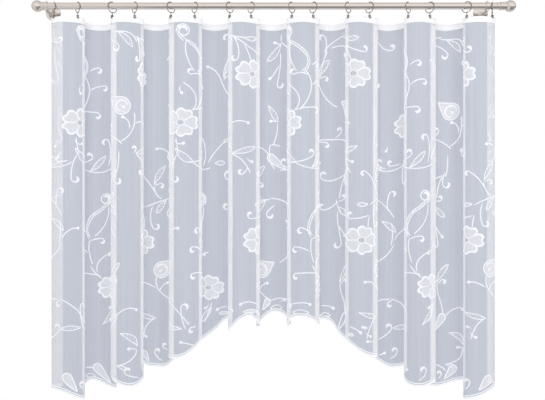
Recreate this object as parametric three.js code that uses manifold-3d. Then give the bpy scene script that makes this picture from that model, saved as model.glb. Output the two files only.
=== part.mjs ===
// Jacquard curtain on rod. A woven net curtain with an arched hem hangs in waves from the clip rings on a rod.
// Millimetres. +X runs along the rod to the right of someone in the room, +Y into the wall and +Z up.
// The origin lies on the wall, at the middle of the curtain's width and level with the wall flanges' middles.

import * as THREE from 'three';
import { mergeVertices } from 'three/addons/utils/BufferGeometryUtils.js';
import Module from 'manifold-3d';

const wasm = await Module();
wasm.setup();

// Driving dimensions
const GAP = 0.3;               // between pieces that touch or slide
const ROD_DIAMETER = 28;
const ROD_OUT = 88;            // rod axis in front of the wall
const ROD_RISE = 6;            // rod axis above the middles of the wall flanges
const TOP_DROP = 47;           // curtain's top edge below the rod axis
const SHEET = 1.2;             // thickness of the net with its raised figure
const TAPE = 1.0;              // thickness of the heading tape
const TAPE_HEIGHT = 25;
const SAG = 15;                // how far the top edge sinks in the middle of each back fold

// Depths of the waves behind the clips, towards the wall
const FRONT_DEPTH = -16;       // middle of a front fold
const LEFT_TURN_DEPTH = 16;    // where a front fold starts
const RIGHT_TURN_DEPTH = 22;   // where a front fold ends
const BACK_TURN_DEPTH = 45;    // the two ends of a back fold
const BACK_DEPTH = 69;         // middle of a back fold
const TUCK = 17;               // how far a back fold reaches behind the front fold beside it

// Front folds from left to right: x of the left turn, the two clips and the right turn. hem is how far the
// cloth hangs below its top edge at the left turn, left clip, middle, right clip and right turn.
const FRONT_FOLDS = [
  { left: -936, clipLeft: -921, clipRight: -821, right: -798, hem: [1564, 1562, 1572, 1600, 1608] },
  { left: -686, clipLeft: -676, clipRight: -582, right: -549, hem: [1505, 1522, 1544, 1550, 1521] },
  { left: -441, clipLeft: -430, clipRight: -330, right: -301, hem: [1436, 1434, 1425, 1391, 1360] },
  { left: -191, clipLeft: -183, clipRight: -93, right: -56, hem: [1318, 1310, 1270, 1257, 1299] },
  { left: 58, clipLeft: 78, clipRight: 168, right: 196, hem: [1299, 1266, 1258, 1273, 1299] },
  { left: 304, clipLeft: 315, clipRight: 405, right: 443, hem: [1357, 1363, 1400, 1424, 1433] },
  { left: 553, clipLeft: 567, clipRight: 658, right: 689, hem: [1518, 1542, 1549, 1542, 1536] },
  { left: 803, clipLeft: 813, clipRight: 920, right: 938, hem: [1603, 1605, 1587, 1560, 1548] },
];

// Back folds between them. hem is the same at the left turn, the left quarter, the middle, the right quarter
// and the right turn.
const BACK_FOLDS = [
  { hem: [1566, 1543, 1554, 1569, 1568] },
  { hem: [1468, 1483, 1489, 1483, 1448] },
  { hem: [1372, 1354, 1325, 1285, 1278] },
  { hem: [1302, 1272, 1252, 1257, 1290] },
  { hem: [1280, 1281, 1295, 1345, 1370] },
  { hem: [1438, 1466, 1489, 1487, 1478] },
  { hem: [1558, 1569, 1562, 1547, 1545] },
];

// The curtain's two side edges turn back behind the outer folds.
const LEFT_EDGE = { x: -895, depth: 34, hem: 1560 };
const RIGHT_EDGE = { x: 912, depth: 40, hem: 1550 };

// Facets along the cloth between one key point and the next
const STEPS_AT_TURN = 4;
const STEPS_IN_FRONT = 4;
const STEPS_AT_BACK = 6;
const ROWS = 2;                // bands of facets down the cloth

// Facets round and along the hardware
const ROUND_SIDES = 28;
const ARM_SIDES = 14;
const WIRE_SIDES = 6;
const RING_STEPS = 18;
const EYE_SIDES = 4;
const EYE_STEPS = 10;
const BALL_STEPS = 10;

// Rings and clips
const RING_RADIUS = 22.5;      // middle of the wire
const RING_WIRE = 1.6;         // wire radius
const RING_TURN = 38;          // degrees that a ring stands off square to the rod
const RINGS_APART = { 1: 30, 15: 42, 16: -18 };  // rings that stand otherwise, with their own angle
const EYE_RADIUS = 3;
const EYE_WIRE = 0.8;
const STEM_RADIUS = 1.1;
const JAW_WIDTH = 9;
const JAW_TOP = 36;            // below the rod axis
const JAW_BITE = 5;            // how far the jaws reach down over the tape
const JAW_PLAY = 0.6;          // room between each jaw and the cloth
const JAW_WALL = 1.4;

// Rod ends
const BALL_RADIUS = 23.5;
const NECK_WIDE = 16.4;        // radius of the sleeve beside the ball
const NECK_THIN = 14;          // radius beside the rod
const SLEEVE_LENGTH = 21;
const FINIALS = [
  { name: 'finial_left', side: -1, ball: 991, neck: 5.7 },
  { name: 'finial_right', side: 1, ball: 995, neck: 34 },
];

// Wall brackets
const BRACKETS = [
  { name: 'bracket_left', x: -953.5 },
  { name: 'bracket_right', x: 899 },
];
const FLANGE_RADIUS = 32;
const FLANGE_THICK = 6;
const FLANGE_EDGE = 2;         // bevel of the flange's rim
const ARM_RADIUS = 5.5;
const ARM_DROP = 18;           // arm's axis below the rod axis
const COLLAR_RADIUS = 16.6;
const COLLAR_WIDTH = 16;
const SCREW_RADIUS = 2.6;
const SCREW_HEIGHT = 5;        // above the collar

const rodRadius = ROD_DIAMETER / 2;
const topZ = ROD_RISE - TOP_DROP;
const radians = THREE.MathUtils.degToRad;

const metal = new THREE.MeshStandardMaterial({ color: 0xcfc9c5, roughness: 0.3, metalness: 1 });
const wire = new THREE.MeshStandardMaterial({ color: 0xa9a4a0, roughness: 0.25, metalness: 1 });
const net = new THREE.MeshStandardMaterial({ color: 0xe4e7ed, roughness: 0.9, metalness: 0 });
const white = new THREE.MeshStandardMaterial({ color: 0xf5f6f8, roughness: 0.8, metalness: 0 });

const curtain = new THREE.Group();

function addPiece(name, geometry, material) {
  const mesh = new THREE.Mesh(geometry, material);
  mesh.name = name;
  curtain.add(mesh);
  return mesh;
}

// A three.js geometry as a solid that can be joined and cut
function toSolid(geometry) {
  const bare = geometry.clone();
  bare.deleteAttribute('normal');
  bare.deleteAttribute('uv');
  const merged = mergeVertices(bare, 1e-4);
  const vertProperties = new Float32Array(merged.attributes.position.array);
  const triVerts = new Uint32Array(merged.index.array);
  return new wasm.Manifold(new wasm.Mesh({ numProp: 3, vertProperties, triVerts }));
}

function toGeometry(solid) {
  const { vertProperties, triVerts } = solid.getMesh();
  const geometry = new THREE.BufferGeometry();
  geometry.setAttribute('position', new THREE.BufferAttribute(new Float32Array(vertProperties), 3));
  geometry.setIndex(new THREE.BufferAttribute(new Uint32Array(triVerts), 1));
  geometry.computeVertexNormals();
  return geometry;
}

// Key points along the cloth, from its left edge to its right edge, with the steps to the next one.
// halfway is the hem's drop half the way to the next key point, where a back fold has one.
function keyPoints() {
  const keys = [{ ...LEFT_EDGE, steps: STEPS_AT_TURN }];
  FRONT_FOLDS.forEach((fold, i) => {
    const middle = (fold.clipLeft + fold.clipRight) / 2;
    keys.push(
      { x: fold.left, depth: LEFT_TURN_DEPTH, hem: fold.hem[0], steps: STEPS_AT_TURN },
      { x: fold.clipLeft, depth: 0, hem: fold.hem[1], steps: STEPS_IN_FRONT, clip: 2 * i + 1 },
      { x: middle, depth: FRONT_DEPTH, hem: fold.hem[2], steps: STEPS_IN_FRONT },
      { x: fold.clipRight, depth: 0, hem: fold.hem[3], steps: STEPS_AT_TURN, clip: 2 * i + 2 },
      { x: fold.right, depth: RIGHT_TURN_DEPTH, hem: fold.hem[4], steps: STEPS_AT_TURN },
    );
    if (i === BACK_FOLDS.length) return;
    const { hem } = BACK_FOLDS[i];
    const from = fold.right - TUCK;
    const to = FRONT_FOLDS[i + 1].left + TUCK;
    keys.push(
      { x: from, depth: BACK_TURN_DEPTH, hem: hem[0], halfway: hem[1], steps: STEPS_AT_BACK },
      {
        x: (from + to) / 2, depth: BACK_DEPTH, hem: hem[2], halfway: hem[3], steps: STEPS_AT_BACK, sags: true,
      },
      { x: to, depth: BACK_TURN_DEPTH, hem: hem[4], steps: STEPS_AT_TURN },
    );
  });
  keys.push({ ...RIGHT_EDGE, steps: 0 });
  return keys;
}

// The hem's drop at place s along the cloth: a smooth curve through the drops at their places
function hemAt(drops, s) {
  const last = drops.length - 1;
  let i = 0;
  while (i < last - 1 && s > drops[i + 1].s) i += 1;
  const slope = (k) => {
    const before = drops[Math.max(k - 1, 0)];
    const after = drops[Math.min(k + 1, last)];
    return (after.drop - before.drop) / (after.s - before.s);
  };
  const [from, to] = [drops[i], drops[i + 1]];
  const span = to.s - from.s;
  const t = (s - from.s) / span;
  return from.drop * (2 * t ** 3 - 3 * t ** 2 + 1) + to.drop * (3 * t ** 2 - 2 * t ** 3)
    + slope(i) * span * (t ** 3 - 2 * t ** 2 + t) + slope(i + 1) * span * (t ** 3 - t ** 2);
}

// Columns down the cloth: its place in plan, the side that faces the room, and the heights of its two ends
function clothColumns() {
  const keys = keyPoints();
  const places = keys.map((key) => new THREE.Vector3(key.x, key.depth - ROD_OUT, 0));
  const plan = new THREE.CatmullRomCurve3(places);
  const columns = [];
  keys.forEach((key, i) => {
    key.column = columns.length;
    for (let step = 0; step < Math.max(key.steps, 1); step += 1) {
      const t = Math.min((i + step / Math.max(key.steps, 1)) / (keys.length - 1), 1);
      const along = plan.getTangent(t);
      columns.push({ point: plan.getPoint(t), room: new THREE.Vector3(along.y, -along.x, 0).normalize() });
      if (step === 0) key.slope = Math.atan2(along.y, along.x);
    }
  });
  columns.forEach((column, j) => {
    column.s = j === 0 ? 0 : columns[j - 1].s + column.point.distanceTo(columns[j - 1].point);
  });
  keys.forEach((key) => { key.s = columns[key.column].s; });
  const drops = [];
  keys.forEach((key, i) => {
    drops.push({ s: key.s, drop: key.hem });
    if (key.halfway) drops.push({ s: (key.s + keys[i + 1].s) / 2, drop: key.halfway });
  });
  // The top edge sinks between the clips on either side of a back fold
  const sags = keys.flatMap((key, i) => (key.sags ? [{ from: keys[i - 3].s, to: keys[i + 3].s }] : []));
  columns.forEach((column) => {
    const sag = sags.find(({ from, to }) => column.s > from && column.s < to);
    const sunk = sag ? SAG * Math.sin(Math.PI * (column.s - sag.from) / (sag.to - sag.from)) ** 2 : 0;
    column.top = topZ - sunk;
    column.bottom = topZ - hemAt(drops, column.s);
  });
  return { columns, clipKeys: keys.filter((key) => key.clip) };
}

// A closed sheet between two offsets from the cloth's middle surface, the first nearer the wall
function sheetGeometry(columns, wallSide, roomSide, rows, bottomOf) {
  const positions = [];
  const faces = [];
  const perColumn = 2 * (rows + 1);
  for (const column of columns) {
    for (const offset of [roomSide, wallSide]) {
      for (let row = 0; row <= rows; row += 1) {
        const z = THREE.MathUtils.lerp(column.top, bottomOf(column), row / rows);
        positions.push(column.point.x + column.room.x * offset, column.point.y + column.room.y * offset, z);
      }
    }
  }
  const at = (j, side, row) => j * perColumn + side * (rows + 1) + row;
  const quad = (a, b, c, d) => faces.push(a, b, c, a, c, d);
  for (let j = 0; j < columns.length - 1; j += 1) {
    for (let row = 0; row < rows; row += 1) {
      quad(at(j, 0, row), at(j, 0, row + 1), at(j + 1, 0, row + 1), at(j + 1, 0, row));
      quad(at(j, 1, row), at(j + 1, 1, row), at(j + 1, 1, row + 1), at(j, 1, row + 1));
    }
    quad(at(j, 0, 0), at(j + 1, 0, 0), at(j + 1, 1, 0), at(j, 1, 0));
    quad(at(j, 0, rows), at(j, 1, rows), at(j + 1, 1, rows), at(j + 1, 0, rows));
  }
  const end = columns.length - 1;
  for (let row = 0; row < rows; row += 1) {
    quad(at(0, 0, row), at(0, 1, row), at(0, 1, row + 1), at(0, 0, row + 1));
    quad(at(end, 0, row), at(end, 0, row + 1), at(end, 1, row + 1), at(end, 1, row));
  }
  const geometry = new THREE.BufferGeometry();
  geometry.setAttribute('position', new THREE.Float32BufferAttribute(positions, 3));
  geometry.setIndex(faces);
  geometry.computeVertexNormals();
  return geometry;
}

// Cloth and heading tape
const { columns, clipKeys } = clothColumns();
const tapeBack = SHEET / 2 + GAP;
const tapeEnd = (column) => column.top - TAPE_HEIGHT;
const hemEnd = (column) => column.bottom;
addPiece('curtain_cloth', sheetGeometry(columns, -SHEET / 2, SHEET / 2, ROWS, hemEnd), net);
addPiece('heading_tape', sheetGeometry(columns, tapeBack, tapeBack + TAPE, 1, tapeEnd), white);

// How far a ring's middle hangs below the rod axis: it rests on the rod with GAP to spare, turned or not
function ringDrop(turn) {
  const clear = rodRadius + RING_WIRE + GAP;
  const square = RING_RADIUS - clear;
  const swung = Math.sqrt((RING_RADIUS * Math.cos(turn)) ** 2 - clear ** 2) * Math.tan(Math.abs(turn));
  const touchesBeside = square < RING_RADIUS * Math.sin(turn) ** 2;
  return touchesBeside ? swung : square;
}

// A clip: an eye round the ring's wire, a stem, and a block slotted for the top edge of cloth and tape.
// It is built round its own middle, with its jaws facing along Y, and its height is taken from the rod axis.
function clipGeometry(ringBottom, eyeTurn) {
  const eyeMiddle = ringBottom + RING_WIRE + GAP + EYE_WIRE - EYE_RADIUS;
  const eye = new THREE.TorusGeometry(EYE_RADIUS, EYE_WIRE, EYE_SIDES, EYE_STEPS);
  eye.rotateX(Math.PI / 2).rotateZ(eyeTurn).translate(0, 0, eyeMiddle);
  const stemTop = eyeMiddle - EYE_RADIUS + EYE_WIRE / 2;
  const stemLength = stemTop + JAW_TOP + JAW_WALL;
  const stem = new THREE.CylinderGeometry(STEM_RADIUS, STEM_RADIUS, stemLength, WIRE_SIDES);
  stem.rotateX(Math.PI / 2).translate(0, 0, stemTop - stemLength / 2);
  const slotFront = tapeBack + TAPE + JAW_PLAY;
  const slotBack = SHEET / 2 + JAW_PLAY;
  const jawBottom = -TOP_DROP - JAW_BITE;
  const jawHeight = -JAW_TOP - jawBottom;
  const depth = slotFront + slotBack + 2 * JAW_WALL;
  const middle = (slotBack - slotFront) / 2;
  const block = new THREE.BoxGeometry(JAW_WIDTH, depth, jawHeight);
  block.translate(0, middle, jawBottom + jawHeight / 2);
  const slotHeight = 2 * (JAW_BITE + JAW_PLAY);
  const slot = new THREE.BoxGeometry(JAW_WIDTH * 2, slotFront + slotBack, slotHeight);
  slot.translate(0, middle, jawBottom);
  return toSolid(eye).add(toSolid(stem)).add(toSolid(block)).subtract(toSolid(slot));
}

// Each ring stands at its own turn, its front half to the right where that is above 0. Its clip lies along the
// cloth.
for (const { clip: number, x, slope } of clipKeys) {
  const label = String(number).padStart(2, '0');
  const turn = radians(RINGS_APART[number] ?? (number % 2 ? -RING_TURN : RING_TURN));
  const drop = ringDrop(turn);
  const loop = new THREE.TorusGeometry(RING_RADIUS, RING_WIRE, WIRE_SIDES, RING_STEPS).rotateY(Math.PI / 2);
  const ring = addPiece(`ring_${label}`, loop, wire);
  ring.rotation.z = turn;
  ring.position.set(x, -ROD_OUT, ROD_RISE - drop);
  const clipSolid = clipGeometry(-drop - RING_RADIUS, turn - slope);
  const clip = addPiece(`clip_${label}`, toGeometry(clipSolid), wire);
  clip.rotation.z = slope;
  clip.position.set(x, -ROD_OUT, ROD_RISE);
}

// Rod
const neckStart = (finial) => finial.ball - BALL_RADIUS - finial.neck;
const [leftEnd, rightEnd] = [-neckStart(FINIALS[0]) + GAP, neckStart(FINIALS[1]) - GAP];
const bar = new THREE.CylinderGeometry(rodRadius, rodRadius, rightEnd - leftEnd, ROUND_SIDES);
const rod = addPiece('rod', bar, metal);
rod.rotation.z = Math.PI / 2;
rod.position.set((leftEnd + rightEnd) / 2, -ROD_OUT, ROD_RISE);

// Ball ends, each turned round the rod's axis from the neck to the far side of the ball
for (const finial of FINIALS) {
  const neckEnd = -BALL_RADIUS - finial.neck;
  const meeting = Math.asin(NECK_WIDE / BALL_RADIUS);
  const sleeve = -BALL_RADIUS - Math.min(finial.neck, SLEEVE_LENGTH);
  const profile = [new THREE.Vector2(0, neckEnd)];
  if (sleeve > neckEnd) profile.push(new THREE.Vector2(NECK_THIN, neckEnd), new THREE.Vector2(NECK_THIN, sleeve));
  profile.push(new THREE.Vector2(NECK_WIDE, sleeve));
  for (let step = 0; step < BALL_STEPS; step += 1) {
    const angle = THREE.MathUtils.lerp(meeting, Math.PI, step / BALL_STEPS);
    profile.push(new THREE.Vector2(BALL_RADIUS * Math.sin(angle), -BALL_RADIUS * Math.cos(angle)));
  }
  profile.push(new THREE.Vector2(0, BALL_RADIUS));
  const end = addPiece(finial.name, new THREE.LatheGeometry(profile, ROUND_SIDES), metal);
  end.rotation.z = -finial.side * Math.PI / 2;
  end.position.set(finial.side * finial.ball, -ROD_OUT, ROD_RISE);
}

// A round bar along X, round the rod's axis
function barOnRod(radius, length) {
  const bar = new THREE.CylinderGeometry(radius, radius, length, ROUND_SIDES).rotateZ(Math.PI / 2);
  return bar.translate(0, -ROD_OUT, ROD_RISE);
}

// Wall brackets: flange, arm and a collar round the rod with a screw in its top
for (const bracket of BRACKETS) {
  const flangeProfile = [
    new THREE.Vector2(0, 0),
    new THREE.Vector2(FLANGE_RADIUS, 0),
    new THREE.Vector2(FLANGE_RADIUS, FLANGE_THICK - FLANGE_EDGE),
    new THREE.Vector2(FLANGE_RADIUS - FLANGE_EDGE, FLANGE_THICK),
    new THREE.Vector2(0, FLANGE_THICK),
  ];
  const flange = new THREE.LatheGeometry(flangeProfile, ROUND_SIDES).rotateX(Math.PI);
  const armStart = FLANGE_THICK / 2;
  const armLength = ROD_OUT + ARM_RADIUS - armStart;
  const arm = new THREE.CylinderGeometry(ARM_RADIUS, ARM_RADIUS, armLength, ARM_SIDES);
  arm.translate(0, -armStart - armLength / 2, ROD_RISE - ARM_DROP);
  const screwLength = COLLAR_RADIUS - rodRadius + SCREW_HEIGHT;
  const screw = new THREE.CylinderGeometry(SCREW_RADIUS, SCREW_RADIUS, screwLength, ARM_SIDES);
  screw.rotateX(Math.PI / 2).translate(0, -ROD_OUT, ROD_RISE + rodRadius + screwLength / 2);
  const collar = barOnRod(COLLAR_RADIUS, COLLAR_WIDTH);
  const bore = barOnRod(rodRadius + GAP, 4 * COLLAR_WIDTH);
  const joined = [arm, collar, screw].reduce((sum, part) => sum.add(toSolid(part)), toSolid(flange));
  const piece = addPiece(bracket.name, toGeometry(joined.subtract(toSolid(bore))), metal);
  piece.position.x = bracket.x;
}

export default curtain;
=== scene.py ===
# Jacquard curtain on rod: the looks of the woven net, its raised figure, the heading tape and the rod with its
# rings. The scene is in metres. Sizes below are in millimetres, as in the part's source, and MM turns them to
# metres.
import math

import bmesh
import bpy
import numpy as np
from mathutils import Matrix, Vector


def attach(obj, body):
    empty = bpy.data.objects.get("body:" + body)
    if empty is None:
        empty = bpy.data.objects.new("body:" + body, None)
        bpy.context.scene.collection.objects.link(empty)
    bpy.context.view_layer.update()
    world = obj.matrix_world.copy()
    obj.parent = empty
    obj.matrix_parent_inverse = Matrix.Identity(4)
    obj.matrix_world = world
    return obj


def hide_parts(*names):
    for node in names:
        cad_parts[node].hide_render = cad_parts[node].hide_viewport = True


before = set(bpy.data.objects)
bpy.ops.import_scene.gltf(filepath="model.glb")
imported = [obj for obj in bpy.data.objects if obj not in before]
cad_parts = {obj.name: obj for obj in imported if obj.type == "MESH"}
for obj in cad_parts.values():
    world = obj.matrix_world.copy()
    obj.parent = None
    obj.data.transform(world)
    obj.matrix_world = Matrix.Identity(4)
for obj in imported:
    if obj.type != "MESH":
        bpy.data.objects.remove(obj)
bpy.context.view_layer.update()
MM = 0.001

# Rod and the curtain's place under it
GAP = 0.3
ROD_RADIUS = 14
ROD_OUT = 88
ROD_RISE = 6
TOP_DROP = 47
TOP = ROD_RISE - TOP_DROP
SAG = 15
TAPE = 1.0
TAPE_HEIGHT = 25
SHEET = 1.2

# Depths of the waves behind the clips, towards the wall
FRONT_DEPTH = -16
LEFT_TURN_DEPTH = 16
RIGHT_TURN_DEPTH = 22
BACK_TURN_DEPTH = 45
BACK_DEPTH = 69
TUCK = 17

# Front folds from left to right: x of the left turn, the two clips and the right turn. Then how far the hem
# hangs below the cloth's top edge at the clips, for the left turn, left clip, middle, right clip and right
# turn.
FRONT_FOLDS = [
    ((-936, -921, -821, -798), (1564, 1562, 1572, 1600, 1608)),
    ((-686, -676, -582, -549), (1505, 1522, 1544, 1550, 1521)),
    ((-441, -430, -330, -301), (1436, 1434, 1425, 1391, 1360)),
    ((-191, -183, -93, -56), (1318, 1310, 1270, 1257, 1299)),
    ((58, 78, 168, 196), (1299, 1266, 1258, 1273, 1299)),
    ((304, 315, 405, 443), (1357, 1363, 1400, 1424, 1433)),
    ((553, 567, 658, 689), (1518, 1542, 1549, 1542, 1536)),
    ((803, 813, 920, 938), (1603, 1605, 1587, 1560, 1548)),
]

# The same for the back folds, at the left turn, left quarter, middle, right quarter and right turn
BACK_FOLDS = [
    (1566, 1543, 1554, 1569, 1568),
    (1468, 1483, 1489, 1483, 1448),
    (1372, 1354, 1325, 1285, 1278),
    (1302, 1272, 1252, 1257, 1290),
    (1280, 1281, 1295, 1345, 1370),
    (1438, 1466, 1489, 1487, 1478),
    (1558, 1569, 1562, 1547, 1545),
]
LEFT_EDGE = (-895, 34, 1560)   # x, depth and drop of the cloth's left edge
RIGHT_EDGE = (912, 40, 1550)

# Rings and clips
RING_RADIUS = 22.5
RING_WIRE = 1.6
RING_TURN = 38
RINGS_APART = {1: 30, 15: 42, 16: -18}
EYE_RADIUS = 3
EYE_WIRE = 0.8
STEM_RADIUS = 1.1
JAW_WIDTH = 9
JAW_TOP = 36
JAW_BOTTOM = TOP_DROP + 5

# Rod ends and wall brackets
BALL_RADIUS = 23.5
NECK_WIDE = 16.4      # radius of the sleeve beside the ball
NECK_THIN = 14        # and of the plain part between sleeve and rod
SLEEVE_LENGTH = 21
# The rod's ends: side, how far out the ball's middle lies and the length of its neck
FINIALS = {"finial_left": (-1, 991, 5.7), "finial_right": (1, 995, 34)}
BRACKETS = {"bracket_left": -953.5, "bracket_right": 899}
FLANGE_RADIUS = 32
FLANGE_THICK = 6
ARM_RADIUS = 5.5
ARM_DROP = 18
COLLAR_RADIUS = 16.6
COLLAR_WIDTH = 16
SCREW_RADIUS = 2.6
SCREW_HEIGHT = 5

# The woven figure: width of its repeat, half widths of its threads and how far it stands proud of the net
REPEAT = 990
STEM = 2.4
RAIL = 1.9
RUNG = 9              # spacing of the threads between two rails
KNOB = 6              # half the width of a curl at its tip
DROP = 19             # length of a stem's solid tip
BEADS = 5             # half the width of a beaded band
FULLNESS = 1.2        # each leaf's real width as a share of its row's
RELIEF = 0.6
STEP = 4              # spacing of points along a drawn line
PATCH_RINGS = 5
HEM_BAND = 8.4        # pale band at the very bottom
HEM_GAP = 3.2         # plain net above it
HEM_LINE = 5.0        # bright line above that
# How far along the woven repeats the middle of each fold lies, read off from left to right, how far to either
# side of it the figure runs evenly, and how far it runs on past the outermost middles
FIGURE_AT = [107, 345, 624, 908, 1171, 1424, 1709, 1967, 2238, 2500, 2782, 3042, 3312, 3571, 3846]
EVEN = 55
RUN_ON = 400
# A flower: its height for each unit of width, the eye's share of its radius, and a petal's outline as degrees
# off its axis, share of the way from the eye to the rim, and half the line's width
FLOWER_HEIGHT = 0.73
EYE = 0.26
PETAL = [(-26, 0, 1.6), (-34, 0.42, 1.8), (-30, 0.8, 4.2), (-16, 1, 5.4), (0, 0.86, 4), (16, 1, 5.4),
         (30, 0.8, 4.2), (34, 0.42, 1.8), (26, 0, 1.6)]

# The figure's repeat as a chart on the flat cloth. Its places, headings and lengths come from points read off
# the photograph, and every motif's shape is a formula. A row starts with millimetres along the repeat and down
# from the top edge.
# Flowers: middle along, middle down, half width
FLOWERS = [(173, 443, 78), (776, 238, 78), (811, 936, 78), (400, 1131, 68)]
# Buds: tip along, tip down, heading in degrees clockwise from the right, size
BUDS = [(565, 335, 35, 58), (980, 1022, 150, 56)]
# Beaded bands and plain stems: start along, start down, heading, length, and the degrees by which the first
# and the second half turn
BEADED_LOOPS = [(168, 34, 118, 75, -50, -40), (195, 97, 26, 190, 20, 110), (385, 762, 140, 90, 0, 10),
                (318, 812, 130, 120, -20, -60)]
# Leaves: the same, and half the leaf's width, before its fullness
LEAVES = [
    (19, 80, 112, 98, 16, 18, 10), (149, 549, 55, 100, -18, -18, 12), (300, 632, -42, 95, -4, -4, 9),
    (428, 594, 0, 45, 4, 6, 8), (600, 62, 28, 93, 16, 20, 9), (466, 228, -72, 92, 12, 16, 10),
    (679, 572, -8, 118, -6, -8, 9), (548, 784, 48, 64, -6, -4, 9), (735, 90, 4, 66, -6, -8, 8),
    (891, 686, -72, 92, 14, 14, 9), (842, 785, 172, 50, 6, 8, 7), (944, 756, 136, 70, -8, -8, 9),
    (800, 1238, 22, 101, -8, -8, 8), (-36, 346, 54, 84, 6, 10, 9), (40, 846, 22, 80, 16, 20, 9),
    (352, 1290, -42, 97, -8, -8, 8), (180, 1306, 184, 90, -4, -6, 8), (556, 1110, -66, 97, 10, 12, 9),
    (612, 1326, 12, 102, 22, 24, 10), (598, 1460, 20, 50, 0, 0, 6)]
STEMS = [
    (200, 96, 108, 140, -36, -18), (268, 224, 40, 190, 66, 32), (219, 391, -28, 150, -90, -40),
    (153, 503, 82, 74, 0, -14), (222, 609, 30, 196, -28, -30), (139, 606, 142, 130, 34, 12),
    (398, 598, -66, 120, 14, 16), (459, 502, -16, 175, 22, 44), (607, 560, 88, 95, 6, 16),
    (470, 240, -84, 130, 8, 10), (488, 120, -62, 120, 26, 30), (572, 63, -4, 130, 10, 66),
    (462, 250, 76, 140, -26, -22), (671, 397, 76, 150, 36, 44), (680, 576, 12, 120, 36, 16),
    (586, 650, 124, 105, -20, -8), (541, 750, 84, 76, -14, -14), (676, 76, 24, 68, -14, -10),
    (736, 112, 64, 78, 0, 8), (889, 690, 88, 70, -24, -38), (849, 789, -30, 120, 10, 16),
    (960, 746, -2, 160, 40, 26), (850, 830, 104, 52, -4, -8), (903, 1079, 112, 140, -62, -26),
    (900, 1262, 164, 116, -46, -14), (22, 39, 92, 34, 0, 0), (3, 420, 82, 100, 20, 12),
    (-26, 512, 104, 116, -20, -40), (-30, 520, -30, 50, 40, 20), (84, 850, 80, 100, 10, 16),
    (95, 944, 112, 118, 26, 14), (380, 780, 84, 150, 34, 24), (300, 924, 108, 110, -26, -14),
    (300, 1038, 66, 72, -22, -8), (331, 1068, -112, 130, 70, 30), (416, 1190, 104, 96, 6, 8),
    (15, 1195, -34, 64, 24, 16), (78, 1178, 20, 175, 24, 10), (560, 1104, 98, 140, -30, 14),
    (687, 1390, 98, 126, 50, 26)]
# Curls and spirals: the same as a stem, and the radius of the end's turn, above 0 where it is clockwise
CURLS = [
    (284, 244, 206, 62, -20, -26, 13), (298, 204, -48, 36, 16, 16, 13), (300, 286, -46, 64, 24, 22, 12),
    (219, 391, -14, 108, 6, 8, 14), (160, 573, 124, 108, -20, -18, -17), (62, 620, 186, 38, 14, 16, 14),
    (122, 602, 162, 40, 10, 10, 12), (204, 608, 2, 102, -14, -22, -15), (378, 612, -70, 108, -18, -20, -16),
    (462, 512, -20, 34, 10, 10, 11), (536, 486, -14, 36, -24, -26, -11), (480, 176, -70, 118, -8, -24, -16),
    (516, 100, -24, 92, 34, 34, 17), (686, 80, 48, 96, 26, 26, 16), (466, 240, -50, 28, 16, 14, 10),
    (668, 571, -50, 14, 0, 0, -10), (752, 626, 104, 36, 16, 20, 12), (594, 634, 114, 50, -14, -14, -17),
    (588, 645, 148, 102, 16, 22, 20), (544, 762, 0, 30, -10, -12, -10), (543, 764, 128, 68, 22, 20, 14),
    (549, 800, 98, 142, -20, 6, 17), (686, 82, 28, 150, 6, -26, -14), (891, 716, -116, 94, -16, -20, -11),
    (893, 694, -48, 28, 24, 24, 10), (884, 780, 112, 90, -20, -24, -16), (845, 832, 160, 78, 10, 8, 15),
    (20, 70, 66, 78, -34, -34, -12), (17, 118, 84, 136, 14, 4, -15), (68, 800, -100, 72, 14, 16, 15),
    (-4, 776, 156, 44, -14, -16, -17), (298, 934, -36, 50, 18, 18, 12), (290, 985, 214, 64, -14, -18, -13),
    (298, 916, -124, 52, -18, -20, -14), (345, 1078, 188, 114, -6, -8, -13), (90, 1184, 152, 18, 0, 0, -11),
    (197, 1312, -116, 94, 12, 14, 17), (246, 1299, 172, 24, 0, 0, -11), (22, 1355, -20, 72, -14, -18, -15),
    (562, 1118, -50, 22, 0, 0, 11)]
SPIRALS = [(152, 62, -76, 30, 20, 26, 27), (378, 782, -44, 30, -20, -24, -25)]
# Drops: the same as a stem, with a solid tip
DROPS = [
    (147, 512, 78, 58, -60, -66), (176, 288, 132, 44, -56, -66), (462, 262, -100, 118, -24, -56),
    (652, 472, -76, 72, -46, -56), (676, 446, -24, 88, 24, 30), (748, 592, 56, 38, -30, -30),
    (550, 862, 64, 68, -8, -12), (965, 572, -116, 88, -30, -56), (898, 1134, -142, 84, -20, -36),
    (914, 1148, -80, 62, 40, 40), (832, 1322, 64, 40, -30, -30), (842, 1308, -146, 34, -20, -26),
    (18, 84, -170, 34, 10, 20), (12, 172, 116, 80, 6, 24), (3, 418, -154, 36, -20, -26),
    (66, 522, 76, 30, 40, 40), (94, 932, -68, 96, 34, 50), (384, 974, 74, 26, 30, 40),
    (400, 1200, 86, 34, 50, 50), (597, 1254, -56, 108, 40, 60), (684, 1398, -156, 44, -16, -20)]
# Teardrops: tail along, tail down, head along, head down, size
TEARDROPS = [(41, 628, -22, 572, 17), (548, 1316, 582, 1258, 15)]

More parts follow.
